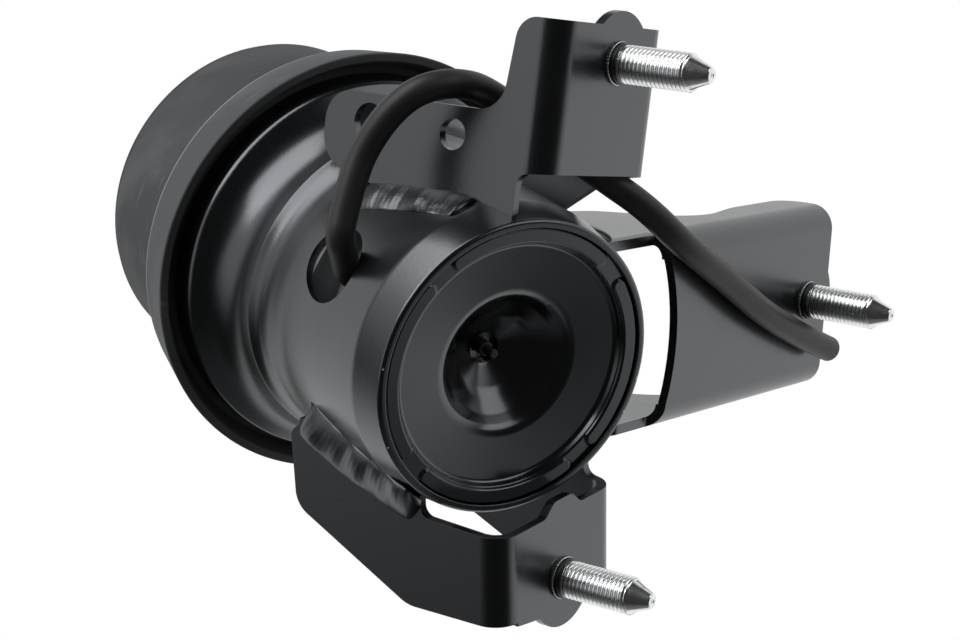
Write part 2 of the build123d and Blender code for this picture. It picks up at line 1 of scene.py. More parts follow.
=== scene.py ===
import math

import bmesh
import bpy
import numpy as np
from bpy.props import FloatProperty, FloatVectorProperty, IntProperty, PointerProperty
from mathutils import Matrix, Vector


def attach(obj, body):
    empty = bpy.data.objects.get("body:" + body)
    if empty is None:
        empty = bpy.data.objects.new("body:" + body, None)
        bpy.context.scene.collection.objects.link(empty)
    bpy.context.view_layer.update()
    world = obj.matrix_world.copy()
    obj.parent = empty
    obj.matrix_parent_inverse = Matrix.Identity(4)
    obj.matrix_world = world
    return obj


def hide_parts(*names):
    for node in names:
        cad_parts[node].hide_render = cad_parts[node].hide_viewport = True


bl_info = {
    "name": "Engine mount dressing",
    "version": (1, 0, 0),
    "blender": (4, 5, 0),
    "location": "View3D > Sidebar > Mount",
    "description": "Builds the finished surfaces, finishes and studio of a rubber engine mount",
    "category": "Object",
}

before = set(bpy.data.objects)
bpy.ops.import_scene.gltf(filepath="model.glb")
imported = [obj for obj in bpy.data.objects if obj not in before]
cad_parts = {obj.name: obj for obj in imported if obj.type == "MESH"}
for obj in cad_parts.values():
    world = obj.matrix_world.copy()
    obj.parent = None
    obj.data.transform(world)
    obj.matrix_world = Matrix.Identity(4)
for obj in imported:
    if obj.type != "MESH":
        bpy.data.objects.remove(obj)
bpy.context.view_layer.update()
MM = 0.001

# The cup's lean, the foot of its axis and its own directions, in the part's frame, in millimetres
LEAN = math.radians(23.2)
FOOT = np.array([-57.0, -13.5, 10.0])
CUP_X = np.array([math.cos(LEAN), 0.0, -math.sin(LEAN)])
CUP_Y = np.array([0.0, 1.0, 0.0])
CUP_Z = np.array([math.sin(LEAN), 0.0, math.cos(LEAN)])
CUP_R = 41.5

# Circle of the bracket studs, and how many degrees each bracket turns off the line from cup to stud
STUD_R = 77.5
STUD_ANGLES = {"right": 24.7, "lower": 144.7, "upper": 264.7}
TWISTS = {"right": 0.8, "lower": 3.4, "upper": -9.5}
AIM_HEIGHT = 10.0
STUD_TIP = -27.5

# Side hole: its direction round the cup in degrees, its height and its radius
HOLE_TURN, HOLE_HEIGHT, HOLE_R = -134.4, 33.0, 10.4

# Sockets that the Mix node uses for colours
MIX_SHARE, MIX_FIRST, MIX_SECOND, MIX_RESULT = 0, 6, 7, 2

# Modifiers read a corner sharper than this as an edge, in degrees
SHEET_CORNER, HOLE_CORNER = 38, 50


def stud_place(side):
    """Stud centre in the plan, and the bracket's X and Y directions there."""
    a = math.radians(STUD_ANGLES[side])
    x, y = STUD_R * math.cos(a), STUD_R * math.sin(a)
    dx, dy = x - FOOT[0] - AIM_HEIGHT * math.tan(LEAN), y - FOOT[1]
    t = math.atan2(dy, dx) + math.radians(TWISTS[side])
    along = np.array([math.cos(t), math.sin(t), 0.0])
    across = np.array([-math.sin(t), math.cos(t), 0.0])
    return np.array([x, y, 0.0]), along, across


def from_cup(points):
    """Cup coordinates (x, y, height along the axis) to the part's frame, in millimetres."""
    p = np.asarray(points, float)
    return FOOT + p[..., :1] * CUP_X + p[..., 1:2] * CUP_Y + p[..., 2:3] * CUP_Z


class Wire:
    """One shader output with arithmetic: each operation adds a Math node."""

    def __init__(self, net, socket):
        self.net, self.socket = net, socket

    def _math(self, kind, *values):
        return self.net.add("ShaderNodeMath", {"operation": kind}, dict(enumerate(values)))

    def __add__(self, other):
        return self._math("ADD", self, other)

    __radd__ = __add__

    def __sub__(self, other):
        return self._math("SUBTRACT", self, other)

    def __rsub__(self, other):
        return self._math("SUBTRACT", other, self)

    def __mul__(self, other):
        return self._math("MULTIPLY", self, other)

    __rmul__ = __mul__

    def most(self, other):
        """The larger of two values."""
        return self._math("MAXIMUM", self, other)

    def size(self):
        """The value without its sign."""
        return self._math("ABSOLUTE", self)

    def step(self, low, high, start=0.0, end=1.0):
        """Smooth change from start to end while the value goes from low to high."""
        sockets = {"Value": self, "From Min": low, "From Max": high, "To Min": start, "To Max": end}
        return self.net.add("ShaderNodeMapRange", {"interpolation_type": "SMOOTHSTEP"}, sockets)


class Net:
    """Short calls that add nodes to one node tree."""

    def __init__(self, tree):
        self.tree = tree

    def add(self, kind, settings=None, sockets=None, out=0):
        """A node of a kind, its settings first, then its values or links."""
        node = self.tree.nodes.new(kind)
        for key, value in (settings or {}).items():
            setattr(node, key, value)
        for key, value in (sockets or {}).items():
            self.feed(node.inputs[key], value)
        return Wire(self, node.outputs[out])

    def feed(self, socket, value):
        """Links a wire to a socket, or sets the socket's own value."""
        if isinstance(value, Wire):
            self.tree.links.new(value.socket, socket)
        elif socket.type == "RGBA" and len(value) == 3:
            socket.default_value = (*value, 1.0)
        else:
            socket.default_value = value


class Finish(Net):
    """One new material on a Principled shader, with its patterns on Object coordinates."""

    def __init__(self, name):
        self.material = bpy.data.materials.new(name)
        self.material.use_nodes = True
        super().__init__(self.material.node_tree)
        self.shader = self.tree.nodes["Principled BSDF"]
        self.coords = self.add("ShaderNodeTexCoord", out="Object")

    def put(self, **sockets):
        """Feeds the Principled shader; an underscore stands for a space."""
        for key, value in sockets.items():
            self.feed(self.shader.inputs[key.replace("_", " ")], value)
        return self.material

    def moved(self, place=(0, 0, 0), turn=(0, 0, 0), scale=(1, 1, 1), vector=None):
        """Coordinates scaled, then turned, then moved."""
        sockets = {
            "Vector": vector or self.coords, "Location": place, "Rotation": turn, "Scale": scale,
        }
        return self.add("ShaderNodeMapping", {"vector_type": "POINT"}, sockets)

    def noise(self, scale, detail=2.0, rough=0.5, vector=None, warp=0.0):
        """Cloudy values from 0 to 1; the scale is in waves per metre."""
        sockets = {
            "Vector": vector or self.coords, "Scale": scale, "Detail": detail, "Roughness": rough,
            "Distortion": warp,
        }
        return self.add("ShaderNodeTexNoise", {}, sockets)

    def cells(self, scale):
        """Distance to the nearest of many scattered points, for specks."""
        return self.add("ShaderNodeTexVoronoi", {}, {"Vector": self.coords, "Scale": scale})

    def specks(self, scale, cells, field, patches):
        """Small dots of a scale, kept where a coarser noise passes the patch limits."""
        return self.cells(scale).step(*cells) * self.noise(field).step(*patches)

    def blend(self, share, first, second):
        """Colour mix."""
        node = self.tree.nodes.new("ShaderNodeMix")
        node.data_type = "RGBA"
        self.feed(node.inputs[MIX_SHARE], share)
        self.feed(node.inputs[MIX_FIRST], first)
        self.feed(node.inputs[MIX_SECOND], second)
        return Wire(self, node.outputs[MIX_RESULT])

    def bump(self, height, depth):
        """Surface relief of a height from 0 to 1 times a depth in metres."""
        return self.add("ShaderNodeBump", {}, {"Height": height, "Distance": depth, "Strength": 1.0})

    def spot(self, own, angle, radius, height, size):
        """Ragged patch round a point of the cup's frame: angle in degrees, lengths in millimetres."""
        a = math.radians(angle)
        point = (radius * math.cos(a) * MM, radius * math.sin(a) * MM, height * MM)
        settings = {"operation": "DISTANCE"}
        away = self.add("ShaderNodeVectorMath", settings, {0: own, 1: point}, "Value")
        ragged = away + (self.noise(900.0, 3.0, 0.7) - 0.5) * (size * MM * 1.6)
        return ragged.step(size * MM, size * MM * 0.8)

    def cup_place(self):
        """Coordinates in the cup's own frame, in metres: moved to its foot, then turned upright."""
        shifted = self.moved(place=tuple(-FOOT * MM))
        return self.moved(turn=(0, -LEAN, 0), vector=shifted)

    def cup_height(self, own):
        """Height along the cup's axis, in metres."""
        return self.add("ShaderNodeSeparateXYZ", {}, {"Vector": own}, "Z")


PALE_METAL = (0.62, 0.62, 0.60)
RUST = (0.24, 0.085, 0.025)


def tint(colour, times, plus=0.0):
    """A colour with each part multiplied and raised."""
    return tuple(c * times + plus for c in colour)


def black_paint(name, colour, rough, peel=0.00002, chips=(), rust=()):
    """Black dip paint: faint orange peel, cloudy gloss, hairline scratches and dust, and chips and rust
    spots where they are given."""
    net = Finish(name)
    own = net.cup_place()
    cloud = net.noise(45.0, 4.0, 0.6)
    grain = net.noise(1500.0, 2.0, 0.5)
    lines = net.noise(1.0, 3.0, 0.6, net.moved(turn=(0.4, 0.9, 0.3), scale=(60, 2600, 90)), 0.4)
    scratch = lines.step(0.70, 0.76) * cloud.step(0.45, 0.6)
    speck = net.specks(1100.0, (0.10, 0.05), 300.0, (0.62, 0.7))
    base = net.blend(scratch * 0.12 + speck * 0.5, tuple(colour), tint(colour, 6, 0.06))
    for spots, tone in ((chips, PALE_METAL), (rust, RUST)):
        for place in spots:
            base = net.blend(net.spot(own, *place), base, tone)
    return net.put(
        Base_Color=base,
        Roughness=cloud * 0.10 + (rough - 0.05) + scratch * 0.15 + speck * 0.2,
        Normal=net.bump(grain + scratch * -0.5, peel),
        IOR=1.6,
        Specular_IOR_Level=0.95,
        Specular_Tint=(0.90, 0.95, 1.0),
    )


def rubber(name, colour, rough, dust=0.5, grain=0.00006, painted_light_bands=()):
    """Moulded black rubber: dull grain, pale rubbed marks and dust, and bands of painted light round the
    cup's axis, each given by its height, half width and tone: a pale band is a painted highlight, a dark band
    painted shade."""
    net = Finish(name)
    cloud = net.noise(28.0, 5.0, 0.65)
    fine = net.noise(1100.0, 3.0, 0.6)
    own = net.cup_place()
    rubs = net.noise(1.0, 4.0, 0.7, net.moved(scale=(50, 50, 420), vector=own), 0.6)
    scuff = (rubs.step(0.55, 0.75) * cloud.step(0.42, 0.7)) * dust
    fleck = net.specks(900.0, (0.14, 0.04), 260.0, (0.58, 0.66))
    haze = net.noise(14.0, 4.0, 0.6, own, 1.2).step(0.44, 0.68) * dust
    marks = scuff * 0.8 + fleck * 0.3 * dust + haze * 0.30
    base = net.blend(marks, tuple(colour), tint(colour, 2.4, 0.05))
    # Each band paints light into the colour round the axis: a pale band is a painted highlight, a dark band
    # painted shade
    for height, width, tone in painted_light_bands:
        line = (net.cup_height(own) - height * MM).size().step(width * MM, width * MM * 0.4)
        base = net.blend(line * (cloud * 0.6 + 0.3), base, (tone, tone * 1.02, tone * 1.04))
    return net.put(
        Base_Color=base,
        Roughness=cloud * 0.12 + rough - scuff * 0.05,
        Normal=net.bump(fine + cloud * 0.6, grain),
        Specular_IOR_Level=0.4,
    )


def bright_zinc(name, colour, rough):
    """Bright zinc plate on steel, with faint cloudy gloss and worn grey spots."""
    net = Finish(name)
    cloud = net.noise(160.0, 3.0, 0.6)
    fine = net.noise(2200.0, 2.0, 0.5)
    dull = net.noise(500.0, 3.0, 0.6).step(0.56, 0.70)
    return net.put(
        Base_Color=net.blend(dull * 0.5, tuple(colour), tint(colour, 0.55)),
        Metallic=1.0,
        Roughness=cloud * 0.12 + rough + dull * 0.12,
        Normal=net.bump(fine, 0.000003),
    )


def plain_metal(name, colour, rough):
    """Bare machined steel or alloy with turning marks round the cup's axis."""
    net = Finish(name)
    rings = net.noise(1.0, 2.0, 0.5, net.moved(scale=(40, 40, 5000), vector=net.cup_place()))
    return net.put(
        Base_Color=net.blend(rings, tint(colour, 0.9), tuple(colour)),
        Metallic=1.0,
        Roughness=rings * 0.1 + rough,
        Normal=net.bump(rings, 0.00001),
    )


def pale_plastic(name, colour):
    """Pale grey moulded plastic with a fine grain."""
    net = Finish(name)
    fine = net.noise(1500.0, 3.0, 0.6)
    stain = net.noise(120.0, 4.0, 0.6).step(0.45, 0.75)
    return net.put(
        Base_Color=net.blend(stain * 0.5, tuple(colour), tint(colour, 0.6)),
        Roughness=0.5 + fine * 0.1,
        Normal=net.bump(fine, 0.00003),
    )


TINY = 1e-6
ARC_SHARE = 0.48


def rounded(corners, steps=5):
    """Closed outline through (a, b, radius) corners, each corner an arc tangent to its two sides."""
    out = []
    for i, corner in enumerate(corners):
        p = np.array(corner[:2], float)
        radius = corner[2] if len(corner) > 2 else 0.0
        before = np.array(corners[i - 1][:2], float) - p
        after = np.array(corners[(i + 1) % len(corners)][:2], float) - p
        before_run, after_run = np.linalg.norm(before), np.linalg.norm(after)
        if radius <= 0 or before_run < TINY or after_run < TINY:
            out.append(p[None])
            continue
        before, after = before / before_run, after / after_run
        half = math.acos(np.clip(before @ after, -1, 1)) / 2
        reach = min(radius / math.tan(half), ARC_SHARE * before_run, ARC_SHARE * after_run)
        radius = reach * math.tan(half)
        inward = (before + after) / np.linalg.norm(before + after)
        middle = p + inward * math.hypot(reach, radius)
        start, end = p + before * reach - middle, p + after * reach - middle
        turn = math.atan2(start[0] * end[1] - start[1] * end[0], start @ end)
        t = np.linspace(0, turn, steps + 1)[:, None]
        side = np.array([-start[1], start[0]])
        out.append(middle + np.cos(t) * start + np.sin(t) * side)
    return np.vstack(out)


def circle(steps):
    """Angles evenly spaced round a circle, without the last one that meets the first."""
    return np.linspace(0, 2 * np.pi, steps, endpoint=False)


def turned(radius, angle, height):
    """Points at a radius, an angle and a height about the Z axis, as arrays of one shape."""
    return np.stack([radius * np.cos(angle), radius * np.sin(angle), height + 0 * angle], -1)


def linked(name, data):
    """Object for a mesh, curve, lamp or camera, in the scene."""
    ob = bpy.data.objects.new(name, data)
    bpy.context.scene.collection.objects.link(ob)
    return ob


def smooth(mesh):
    """Smooth shading on every face."""
    mesh.polygons.foreach_set("use_smooth", np.ones(len(mesh.polygons), bool))
    mesh.update()


def grid_object(name, points, around=True, along=True):
    """Mesh over a grid of points (rows, columns, 3) in millimetres; each direction may close on itself.
    Doubles are merged and the faces point outwards."""
    rows, cols = points.shape[:2]
    index = np.arange(rows * cols).reshape(rows, cols)
    row = index if along else index[:-1]
    below = np.roll(index, -1, 0) if along else index[1:]
    if around:
        quads = np.stack([row, np.roll(row, -1, 1), np.roll(below, -1, 1), below], -1)
    else:
        quads = np.stack([row[:, :-1], row[:, 1:], below[:, 1:], below[:, :-1]], -1)
    mesh = bpy.data.meshes.new(name)
    mesh.from_pydata((points.reshape(-1, 3) * MM).tolist(), [], quads.reshape(-1, 4).tolist())
    work = bmesh.new()
    work.from_mesh(mesh)
    bmesh.ops.remove_doubles(work, verts=work.verts, dist=2e-6)
    bmesh.ops.dissolve_degenerate(work, edges=work.edges, dist=1e-7)
    bmesh.ops.recalc_face_normals(work, faces=work.faces)
    work.to_mesh(mesh)
    work.free()
    smooth(mesh)
    return linked(name, mesh)


def even_normals(ob):
    """Shading normals weighted by face area, so that flat faces look flat."""
    mod = ob.modifiers.new("even_normals", "WEIGHTED_NORMAL")
    mod.keep_sharp = True
    mod.weight = 60
    return ob


def soften(ob, name, width, corner):
    """Rounds the edges that turn by more than a corner angle in degrees, by a width in millimetres."""
    mod = ob.modifiers.new(name, "BEVEL")
    mod.width = width * MM
    mod.segments = 2
    mod.limit_method = "ANGLE"
    mod.angle_limit = math.radians(corner)
    mod.use_clamp_overlap = True
    mod.harden_normals = False


def lathe(name, corners, segments, steps=5):
    """Solid of revolution about the cup's axis: the outline (radius, height) carried round the circle."""
    outline = rounded(corners, steps)
    points = turned(outline[:, :1], circle(segments), outline[:, 1:2])
    return even_normals(grid_object(name, from_cup(points)))


def settle(ob):
    """Applies an object's modifiers to its mesh."""
    depsgraph = bpy.context.evaluated_depsgraph_get()
    mesh = bpy.data.meshes.new_from_object(ob.evaluated_get(depsgraph))
    ob.modifiers.clear()
    old = ob.data
    ob.data = mesh
    bpy.data.meshes.remove(old)
    smooth(mesh)


def cut_away(ob, cutter):
    """Takes a closed cutter out of a piece, before the piece's other modifiers, and applies them all."""
    mod = ob.modifiers.new("cut", "BOOLEAN")
    mod.operation = "DIFFERENCE"
    mod.solver = "EXACT"
    mod.object = cutter
    ob.modifiers.move(len(ob.modifiers) - 1, 0)
    settle(ob)
    bpy.data.objects.remove(cutter)


def refined(node, name, edge):
    """Copy of a sheet piece with merged corners and softened edges."""
    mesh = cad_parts[node].data.copy()
    work = bmesh.new()
    work.from_mesh(mesh)
    bmesh.ops.remove_doubles(work, verts=work.verts, dist=5e-6)
    flat = math.radians(0.6)
    bmesh.ops.dissolve_limit(work, angle_limit=flat, verts=work.verts, edges=work.edges)
    work.to_mesh(mesh)
    work.free()
    mesh.name = name
    smooth(mesh)
    ob = linked(name, mesh)
    soften(ob, "soft_edges", edge, SHEET_CORNER)
    return even_normals(ob)


def dress(ob, material, slot, *nodes):
    """Gives a new piece its finish, puts it under the root body and hides the CAD nodes that it stands for;
    the slot is not used.
    """
    ob.data.materials.clear()
    ob.data.materials.append(material)
    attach(ob, "root")
    if nodes:
        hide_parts(*nodes)


def paint_nodes(material, *nodes):
    """Gives CAD nodes that stay a material in every slot."""
    for node in nodes:
        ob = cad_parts[node]
        ob.data.materials.clear()
        ob.data.materials.append(material)


def in_mm(length):
    """A length property in millimetres, without the tail of its single precision."""
    return round(length / MM, 5)


class MountColours(bpy.types.PropertyGroup):
    """Colours of the mount's finishes."""

    paint: FloatVectorProperty(
        name="Paint", description="Black dip paint on the steel",
        default=(0.0026, 0.0028, 0.0032), subtype="COLOR", min=0, max=1,
    )
    cover: FloatVectorProperty(
        name="Cover paint", description="Paint of the end cover",
        default=(0.0028, 0.0030, 0.0034), subtype="COLOR", min=0, max=1,
    )
    rubber: FloatVectorProperty(
        name="Outer rubber", description="Skirt and drum rubber",
        default=(0.066, 0.069, 0.073), subtype="COLOR", min=0, max=1,
    )
    hose: FloatVectorProperty(
        name="Hose rubber", description="Vacuum hose",
        default=(0.020, 0.0207, 0.0225), subtype="COLOR", min=0, max=1,
    )
    zinc: FloatVectorProperty(
        name="Zinc", description="Plated studs",
        default=(0.88, 0.89, 0.90), subtype="COLOR", min=0, max=1,
    )
    chamber: FloatVectorProperty(
        name="Chamber plastic", description="Vacuum chamber behind the side hole",
        default=(0.30, 0.31, 0.32), subtype="COLOR", min=0, max=1,
    )


class MountSizes(bpy.types.PropertyGroup):
    """Sizes of the detail that the scene adds."""

    thread_pitch: FloatProperty(
        name="Thread pitch", description="Pitch of the stud threads",
        default=0.00125, min=0.0005, max=0.003, precision=5, unit="LENGTH",
    )
    thread_depth: FloatProperty(
        name="Thread depth", description="Depth of the stud threads",
        default=0.00068, min=0.0001, max=0.0015, precision=5, unit="LENGTH",
    )
    edge: FloatProperty(
        name="Sheet edge", description="Edge softening on the bracket sheet",
        default=0.00035, min=0.00005, max=0.001, precision=5, unit="LENGTH",
    )
    hose: FloatProperty(
        name="Hose diameter", description="Outside diameter of the hose",
        default=0.0075, min=0.003, max=0.015, precision=5, unit="LENGTH",
    )
    lathe_steps: IntProperty(
        name="Lathe steps", description="Steps round each turned piece", default=200, min=48, max=400,
    )


MACHINED_STEEL = (0.42, 0.42, 0.43)
CAST_ALLOY = (0.6, 0.61, 0.62)
INNER_RUBBER = (0.02, 0.02, 0.021)
NUB_RUBBER = (0.05, 0.052, 0.055)


class MOUNT_OT_inner_parts(bpy.types.Operator):
    """Finishes of the pieces inside the cup and on its far end, and the top stud"""

    bl_idname = "mount.inner_parts"
    bl_label = "Inner parts"

    def execute(self, context):
        colours = context.scene.mount_colours
        steel = plain_metal("machined_steel", MACHINED_STEEL, 0.35)
        alloy = plain_metal("cast_alloy", CAST_ALLOY, 0.38)
        soft = rubber("inner_rubber", INNER_RUBBER, 0.6, 0.1)
        paint_nodes(steel, "vacuum_spring", "bonded_ring", "inner_core", "drum_shell")
        paint_nodes(alloy, "lower_orifice_plate", "upper_orifice_plate")
        paint_nodes(soft, "vacuum_membrane", "rolling_diaphragm", "decoupler_disc", "rubber_spring")
        paint_nodes(pale_plastic("chamber_plastic", colours.chamber), "vacuum_chamber")
        zinc = bright_zinc("top_zinc", colours.zinc, 0.25)
        paint_nodes(zinc, "locating_pin")
        dress(top_stud(context.scene.mount_sizes), zinc, "zinc", "top_stud")
        return {"FINISHED"}


def ramp(values, start, run):
    """0 before a start, rising to 1 over a run, which may be negative."""
    return np.clip((values - start) / run, 0, 1)


# Half the width of a thread groove's floor, and the width of its flank, in pitches
GROOVE_FLOOR, GROOVE_FLANK = 0.04, 0.38


def groove(height, angle, sizes, sharp=1.0):
    """Depth of a helical thread's groove: the phase is height over pitch plus the turn, and the depth
    falls from the floor in the middle of the phase to nothing over the flank on each side."""
    phase = (height / in_mm(sizes.thread_pitch) + angle / (2 * np.pi)) % 1.0
    flank = np.clip((np.abs(phase - 0.5) - GROOVE_FLOOR) / GROOVE_FLANK, 0, 1) ** sharp
    return in_mm(sizes.thread_depth) * (1 - flank)


# Top stud, as radius and height in the cup's frame: its thread runs between two heights
TOP_SHANK = ((0.01, 128.0), (6.3, 128.0), (6.3, 143.8), (6.0, 144.1), (6.0, 147.0))
TOP_TIP = ((6.0, 172.5), (4.6, 173.9), (4.3, 174.0), (0.01, 174.0))
TOP_R, TOP_START, TOP_END, TOP_ROWS = 6.0, 147.1, 172.4, 330


def top_stud(sizes):
    """Top stud: its outline turned round the cup's axis, less the thread's groove."""
    heights = np.linspace(TOP_START, TOP_END, TOP_ROWS)
    thread = np.stack([np.full(TOP_ROWS, TOP_R), heights], -1)
    outline = np.vstack([TOP_SHANK, thread, TOP_TIP])
    t = circle(96)
    r, s = outline[:, :1] + 0 * t, outline[:, 1:2] + 0 * t
    fade = ramp(s, TOP_START + 0.1, 1.2) * ramp(s, TOP_END + 0.6, -1.2)
    threaded = (s > TOP_START - 0.05) & (s < TOP_END + 0.05)
    r = r - np.where(threaded, groove(s, t, sizes) * fade, 0.0)
    return even_normals(grid_object("top_threaded_stud", from_cup(turned(r, t, s))))


# Outlines of the turned pieces: radius, height and corner radius in the cup's frame
HOUSING_OUTSIDE = [
    (37.6, -1.4, 0.3), (39.6, -1.4, 1.2), (41.5, 9.5, 10), (41.5, 49, 40), (42.3, 55.5, 20),
    (43.3, 59.2, 10), (44.6, 61.4, 1.0), (45.2, 68, 18), (48.0, 74.3, 14), (53.9, 78.8, 2.5),
    (53.9, 88, 1.0), (50.6, 88, 0.3),
]
HOUSING_INSIDE = [
    (50.6, 86.4, 0.2), (51.9, 86.4, 0.2), (51.9, 78.4, 0.6), (42.3, 71.3, 3), (42.3, 61.6, 1),
    (39.5, 55.5, 4), (39.5, 9.5, 8), (38.5, 0.0, 0.2), (37.6, 0.0, 0.2),
]
COVER_FRONT = [
    (38.4, 0.05), (38.35, 0.0, 0.2), (33.2, 0.0, 1.0), (32.2, 1.9, 1.4), (18.6, 2.9, 5.0),
    (15.4, 6.6, 8.0), (11.0, 10.6, 14.0), (5.0, 13.9, 6.0), (4.1, 14.4, 0.3), (4.1, 16.6, 0.3),
    (0.02, 16.6),
]
COVER_BACK = [
    (0.02, 18.0), (5.4, 18.0, 1.0), (5.4, 15.8, 1.0), (12.8, 12.1, 9.0), (18.3, 8.0, 3.0),
    (21.4, 4.5, 1.2), (32.65, 4.5, 1.2), (34.05, 1.5, 0.6), (38.4, 1.5),
]
NUB = [
    (0.02, 16.6), (2.0, 16.6), (2.0, 13.2, 0.3), (1.3, 13.1, 0.1), (1.3, 9.2, 0.6), (0.02, 9.2),
]
SKIRT = [
    (46.0, 88.0, 0.3), (55.9, 88.0, 1.2), (58.45, 81.8, 0.5), (60.95, 81.8, 0.5),
    (57.3, 99.1, 0.4), (50.0, 99.1, 2.0), (46.0, 94.1, 2.0),
]
DRUM = [
    (20.0, 141.2, 0.2), (46.3, 141.2, 5.0), (46.3, 102.5, 0.2), (41.9, 102.5, 0.2),
    (41.9, 100.3, 1.0), (48.5, 100.3, 1.5), (48.5, 140.3, 0.3), (47.7, 140.9, 0.3),
    (47.7, 143.3, 0.8), (20.0, 143.3, 0.8),
]

# Spots on the rolled rim: angle, radius, height and size
CHIPS = (
    (27, 39.0, -1.3, 0.45), (41, 39.0, -1.3, 0.4), (24, 38.6, -1.2, 0.3), (203, 39.2, -1.3, 0.3),
    (171, 39.4, -1.2, 0.3),
)
RUST_SPOTS = ((7, 39.2, -1.3, 0.7), (9, 38.8, -1.2, 0.5), (15, 39.0, -1.3, 0.35))


class MOUNT_OT_housing(bpy.types.Operator):
    """Drawn steel cup: its wall outline turned round the axis, with the side hole cut through"""

    bl_idname = "mount.housing"
    bl_label = "Housing"

    def execute(self, context):
        colours = context.scene.mount_colours
        steps = context.scene.mount_sizes.lathe_steps
        ob = lathe("housing_shell", HOUSING_OUTSIDE + HOUSING_INSIDE, steps, 10)
        cut_away(ob, side_cutter())
        soften(ob, "hole_edge", 0.4, HOLE_CORNER)
        even_normals(ob)
        paint = black_paint("housing_paint", colours.paint, 0.25, chips=CHIPS, rust=RUST_SPOTS)
        dress(ob, paint, "black_paint", "lower_housing")
        return {"FINISHED"}


def side_cutter():
    """Closed cylinder along the side hole's axis, a circle carried along a line."""
    t = circle(96)
    turn = math.radians(HOLE_TURN)
    rows = []
    for reach, r in ((30.0, 0.0), (30.0, HOLE_R), (50.0, HOLE_R), (50.0, 0.0)):
        across, up = r * np.cos(t), r * np.sin(t)
        x = reach * math.cos(turn) - across * math.sin(turn)
        y = reach * math.sin(turn) + across * math.cos(turn)
        rows.append(np.stack([x, y, up + HOLE_HEIGHT], -1))
    return grid_object("hole_cutter", from_cup(np.array(rows)), True, False)


# Cover ring between two radii, and its four pads: first middle and half length in degrees, then the
# radius of their middle line, half width, edge width and rise
RING_OUT, RING_IN = 38.3, 33.3
PAD_TURN, PAD_HALF = 20.5, 36.5
PAD_R, PAD_WIDE, PAD_EDGE, PAD_RISE = 35.4, 2.15, 0.7, 0.7


class MOUNT_OT_cover(bpy.types.Operator):
    """Pressed end cover: height over radius and angle, with four raised pads on its ring"""

    bl_idname = "mount.cover"
    bl_label = "End cover"

    def execute(self, context):
        colours = context.scene.mount_colours
        front = rounded(COVER_FRONT, 9)
        ring = np.linspace(RING_OUT, RING_IN, 44)[:, None] * np.array([[1.0, 0.0]])
        front = np.vstack([front[front[:, 0] > RING_OUT], ring, front[front[:, 0] < RING_IN]])
        outline = np.vstack([front, rounded(COVER_BACK, 4)])
        gaps = np.radians(PAD_TURN + 45.0 + 90.0 * np.arange(4))
        fine = (gaps[:, None] + np.radians(np.linspace(-12, 12, 90))).ravel() % (2 * np.pi)
        t = np.unique(np.concatenate([fine, circle(240)]))
        r, s = outline[:, :1] + 0 * t, outline[:, 1:2] + 0 * t
        off = np.abs((np.degrees(t) - PAD_TURN + 45.0) % 90.0 - 45.0)[None]
        past = np.clip(off - PAD_HALF, 0, None) * np.pi / 180 * PAD_R
        away = np.hypot(r - PAD_R, past)
        on_front = np.arange(len(outline))[:, None] < len(front)
        pad = np.clip((PAD_WIDE - away) / PAD_EDGE, 0, 1) * on_front * (s < 0.05)
        s = s - PAD_RISE * np.sin(pad * np.pi / 2)
        ob = even_normals(grid_object("cover_disc", from_cup(turned(r, t, s))))
        paint = black_paint("cover_paint", colours.cover, 0.19, 0.000004)
        dress(ob, paint, "cover_paint", "end_cover")
        plug = lathe("cover_nub", NUB, 48)
        dress(plug, rubber("nub_rubber", NUB_RUBBER, 0.45, 0.1), "plug_rubber", "centre_plug")
        return {"FINISHED"}


class MOUNT_OT_rubber(bpy.types.Operator):
    """Rubber skirt with a painted highlight on its rear rim and stopper drum with painted shade on its far
    rim, turned round the axis
    """

    bl_idname = "mount.rubber"
    bl_label = "Skirt and drum"

    def execute(self, context):
        colours = context.scene.mount_colours
        steps = context.scene.mount_sizes.lathe_steps
        # The pale band on the skirt's rear rim is a painted highlight
        outer = rubber("skirt_rubber", colours.rubber, 0.62, 0.8, painted_light_bands=((99.0, 1.1, 0.42),))
        dress(lathe("skirt_ring", SKIRT, steps), outer, "outer_rubber", "rubber_skirt")
        dark = tint(colours.rubber, 0.85)
        # The near-black band on the drum's far rim is painted shade
        cover = rubber("drum_rubber", dark, 0.60, 0.9, painted_light_bands=((142.3, 1.8, 0.004),))
        dress(lathe("drum_jacket", DRUM, steps), cover, "outer_rubber", "drum_cover")
        return {"FINISHED"}


class MOUNT_OT_brackets(bpy.types.Operator):
    """Three folded brackets with softened sheet edges"""

    bl_idname = "mount.brackets"
    bl_label = "Brackets"

    def execute(self, context):
        colours = context.scene.mount_colours
        edge = in_mm(context.scene.mount_sizes.edge)
        paint = black_paint("bracket_paint", colours.paint, 0.26)
        for side in ("upper", "right", "lower"):
            ob = refined(f"{side}_bracket", f"{side}_sheet", edge)
            if side == "lower":
                cut_away(ob, corner_cutter())
                even_normals(ob)
            dress(ob, paint, "black_paint", f"{side}_bracket")
        return {"FINISHED"}


# The lower bracket's near wall, and the corner above its bead that is cut off: along and across the
# wall, then its lowest and highest point, and the height where the seam is taken
NEAR_WALL = 27.5
CORNER = ((-7, -3.0), (6, -3.0), (6, 2.0), (-7, 2.0))
CORNER_LOW, CORNER_HIGH, CORNER_SEAM = 61.0, 77.0, 61.5


def corner_cutter():
    """Box over the near wall's sharp corner at the cup, above the end of its bead."""
    line, along, across = seam_line("lower", NEAR_WALL, np.array([CORNER_SEAM]))
    corner = np.array(CORNER)
    base = line[0] + corner[:, :1] * along + corner[:, 1:] * across
    low, high = base.copy(), base.copy()
    low[:, 2], high[:, 2] = CORNER_LOW, CORNER_HIGH
    rows = np.stack([low, high])
    middle = rows.mean(1, keepdims=True).repeat(len(corner), 1)
    points = np.concatenate([middle[:1], rows, middle[1:]])
    return grid_object("corner_cutter", points, True, False)


